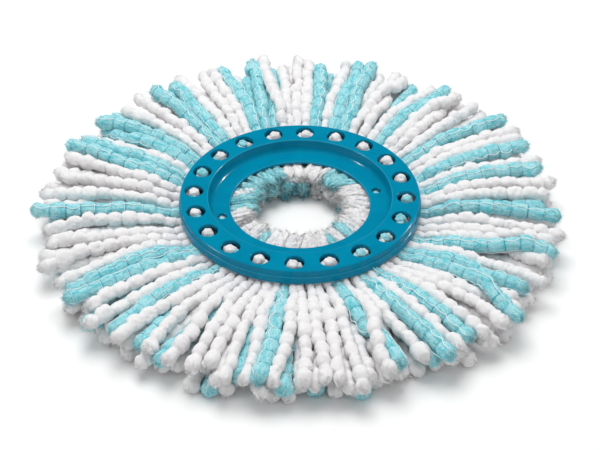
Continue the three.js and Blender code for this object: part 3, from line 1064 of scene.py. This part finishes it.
def brush_tuft(path, wide, tall, shade, fibres):
    """A cut end of yarn combed out into a brush, ridged along its length and flared to wide and tall to each
    side of its path. shade goes from 0, deep, to 1, pale. Its loose fibres are added to fibres."""
    line, along = resampled(path, 0.8)
    ahead, side, up = cross_axes(line)
    part = along / along[-1]
    flare = 0.6 + 0.4 * smooth_step(part, 0.3, 0.85)
    closing = np.sqrt(np.clip(1 - (1 - np.clip((1 - part) / 0.2, 0, 1)) ** 2, 0.02, 1))
    combed = smooth_step(part, 0.1, 0.5)[:, None]
    ways = np.linspace(0, FULL_TURN, TUFT_SIDES, endpoint=False)
    ridge = (1 + rng.normal(0, 0.1, TUFT_SIDES) * combed) * (flare * closing)[:, None]
    local = np.stack([np.cos(ways) * wide * ridge, np.sin(ways) * tall * ridge], axis=2)
    ragged = rng.normal(0, 1.0, TUFT_SIDES) * smooth_step(part, 0.6, 1.0)[:, None]
    smooth = swept(line, (ahead, side, up), local, ragged)
    outward = around(ways, side, up).reshape(-1, 3)
    bump = 0.5 * ripples(smooth, 2.8, int(rng.integers(1 << 30)))
    points = kept_above(smooth + outward * bump[:, None], LOWEST)
    closed, faces = tube(points, line[:1], line[-1:] + ahead[-1:] * 0.4, TUFT_SIDES)
    coord = np.concatenate([np.repeat(along * 0.5, TUFT_SIDES)[:, None], local.reshape(-1, 2)], axis=1)
    # painted shade: the lower layers deeper, and each tail deeper towards its root under the flange
    pale = np.repeat(shade * (0.3 + 0.7 * smooth_step(part, 0.1, 0.8)), TUFT_SIDES)
    values = {"yarn_coord": with_ends(coord + rng.uniform(0, 500, 3)), "bead": with_ends(pale)}
    add_brush_fibres(fibres, points, outward, ahead, shade)
    return kept_above(closed, LOWEST), faces, values


def add_brush_fibres(fibres, points, outward, ahead, shade):
    """Adds the long loose fibres over the outer part of a brush."""
    start = int(0.3 * len(ahead)) * TUFT_SIDES
    roots = rng.integers(start, len(points), TAIL_FIBRES)
    lift = outward[roots]
    run = ahead[roots // TUFT_SIDES] * rng.uniform(1.6, 4.2, (TAIL_FIBRES, 1))
    aims = run + lift * rng.uniform(0.2, 1.5, (TAIL_FIBRES, 1))
    aims += rng.normal(0, 0.45, (TAIL_FIBRES, 3))
    add_fibres(fibres, points[roots] - lift * 0.15, aims, 0.11, shade)


BALL_SIDES = 26
BALL_ROWS = 18


def fluffy_ball(centre, sizes):
    """A lump of yarn: an ellipsoid, sizes along its own radial, tangential and upward axes, roughened all
    over."""
    seed = int(rng.integers(1 << 30))
    ways = np.linspace(0, FULL_TURN, BALL_SIDES, endpoint=False)
    tilts = np.linspace(0.02, math.pi - 0.02, BALL_ROWS)[:, None]
    sphere = np.stack(np.broadcast_arrays(
        np.sin(tilts) * np.cos(ways), np.sin(tilts) * np.sin(ways), np.cos(tilts)
    ), axis=-1).reshape(-1, 3)
    turned = turning(math.atan2(centre[1], centre[0]))
    smooth = (sphere * sizes) @ turned
    bump = 0.28 * ripples(smooth, 3.0, seed) + 0.16 * ripples(smooth, 1.4, seed + 1)
    points = centre + smooth + (sphere @ turned) * bump[:, None]
    values = {
        "yarn_coord": with_ends(smooth + np.random.default_rng(seed).uniform(0, 500, 3)),
        # painted shade: paler on top and deeper underneath, as from a light overhead
        "bead": with_ends(np.clip(sphere[:, 2] * 0.8 + 0.45, 0, 1)),
    }
    top, bottom = points[:BALL_SIDES].mean(0)[None], points[-BALL_SIDES:].mean(0)[None]
    return *tube(points, top, bottom, BALL_SIDES), values


# ---- bundles ----
def make_free_yarns(white, turquoise, thread):
    """The yarns outside the ring, as one white, one turquoise and one net piece for each bundle."""
    yarns = list_yarns()
    angle, height = lay_yarns(yarns)
    gathered = [{"white": Pieces(), "turquoise": Pieces(), "net": Pieces()} for _ in range(BUNDLES)]
    for n, yarn in enumerate(yarns):
        end_r = TIP_R + rng.uniform(-8, 5) - 2.5 * yarn["layer"]
        keep = stations < end_r
        path = at_angle(stations[keep], angle[n][keep], height[n][keep])
        into = gathered[yarn["bundle"]]
        own = into["white" if yarn["white"] else "turquoise"]
        *shape, spine = beaded_yarn(path, yarn["white"], yarn["layer"], own)
        own.add(*shape)
        if not yarn["white"]:
            net_on(into["net"], spine)
    kinds = (
        ("white", white, "white_yarn"),
        ("turquoise", turquoise, "turquoise_yarn"),
        ("net", thread, "net_thread"),
    )
    for bundle, parts in enumerate(gathered):
        number = f"{bundle + 1:02d}"
        way = at_angle(1.0, bundle * PITCH, 0.0)
        for kind, material, slot in kinds:
            if not parts[kind].count:
                continue
            piece = parts[kind].make(f"{slot}_{number}", material)
            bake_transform(piece)
            if kind == "white":
                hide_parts(f"yarn_strands_{number}")


def add_dome(bundle, pale, blue):
    """Adds the lumps of yarn in a bundle's window, each to the pieces of its own colour."""
    for lump, colour in enumerate(DOME_ROWS[bundle]):
        across = LUMP_ACROSS[lump] + rng.normal(0, 0.5)
        rise = LUMP_HEIGHTS[lump] + rng.normal(0, 0.3)
        size = LUMP_SIZES[lump] * rng.uniform(0.92, 1.06)
        turn = bundle * PITCH + across / WINDOW_RING_R
        centre = at_angle(WINDOW_RING_R + rng.normal(0, 0.4), turn, rise)
        into = pale if colour == "w" else blue
        ball = fluffy_ball(centre, (size, size * 1.02, size * 1.06))
        into.add(*ball)
        spots = rng.integers(0, len(ball[0]), LUMP_FIBRES)
        lift = (ball[0][spots] - centre) / size
        aims = lift * rng.uniform(0.3, 0.7, (LUMP_FIBRES, 1))
        add_fibres(into, ball[0][spots] - lift * 0.1, aims, 0.06)


def add_tails(bundle, pale, blue):
    """Adds a bundle's frayed inner ends, each to the pieces of its own colour."""
    for n, colour in enumerate(TAIL_ROWS[bundle]):
        layer, half = n // 2, n % 2 - 0.5
        start_z, end_z, end_r = TAIL_PLACES[layer]
        end_r += rng.uniform(-2.6, 2.2)
        end_z += rng.normal(0, 0.8)
        spot = bundle * PITCH + PITCH / 2 * (half + rng.normal(0, 0.17))
        radii = np.linspace(TAIL_START_R, end_r, 14)
        bend = smooth_step(-radii, -TAIL_BEND_R, -end_r)
        heights = start_z + (end_z - start_z) * bend + rng.normal(0, 0.3)
        path = at_angle(radii, spot + bend * rng.normal(0, 0.07), heights)
        own = pale if colour == "w" else blue
        wide, tall = rng.uniform(3.5, 5.4), rng.uniform(3.2, 4.2)
        own.add(*brush_tuft(path, wide, tall, TAIL_SHADES[layer], own))


def make_held_yarns(white, turquoise):
    """What each bundle shows inside the ring: its dome in the rim's window, and its frayed inner ends."""
    for bundle in range(BUNDLES):
        number = f"{bundle + 1:02d}"
        pale, blue = Pieces(), Pieces()
        add_dome(bundle, pale, blue)
        if bundle in LOCATOR_SECTORS:
            centre = at_angle(LOCATOR_RING_R, bundle * PITCH, FLANGE_BOTTOM - FLUFF_DROP)
            blue.add(*fluffy_ball(centre, FLUFF_SIZES))
        add_tails(bundle, pale, blue)
        for parts, material, slot in ((pale, white, "white_yarn"), (blue, turquoise, "turquoise_yarn")):
            if not parts.count:
                continue
            piece = parts.make(f"held_{slot}_{number}", material)
            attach(piece, "ring")
            if parts is pale:
                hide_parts(f"yarn_root_{number}")


make_camera()
make_studio()
make_floor()
ring_plastic = make_plastic_material("teal_plastic", TEAL)
clamp_plastic = make_plastic_material("hidden_teal_plastic", HIDDEN_TEAL)
white_yarn = make_yarn_material("white_pile", WHITE_PILE, WHITE_SHEEN)
turquoise_yarn = make_yarn_material("turquoise_pile", TURQUOISE_PILE, TURQUOISE_SHEEN)
net_thread = make_thread_material()
make_carrier_ring(ring_plastic)
make_clamp_ring(clamp_plastic)
make_free_yarns(white_yarn, turquoise_yarn, net_thread)
make_held_yarns(white_yarn, turquoise_yarn)
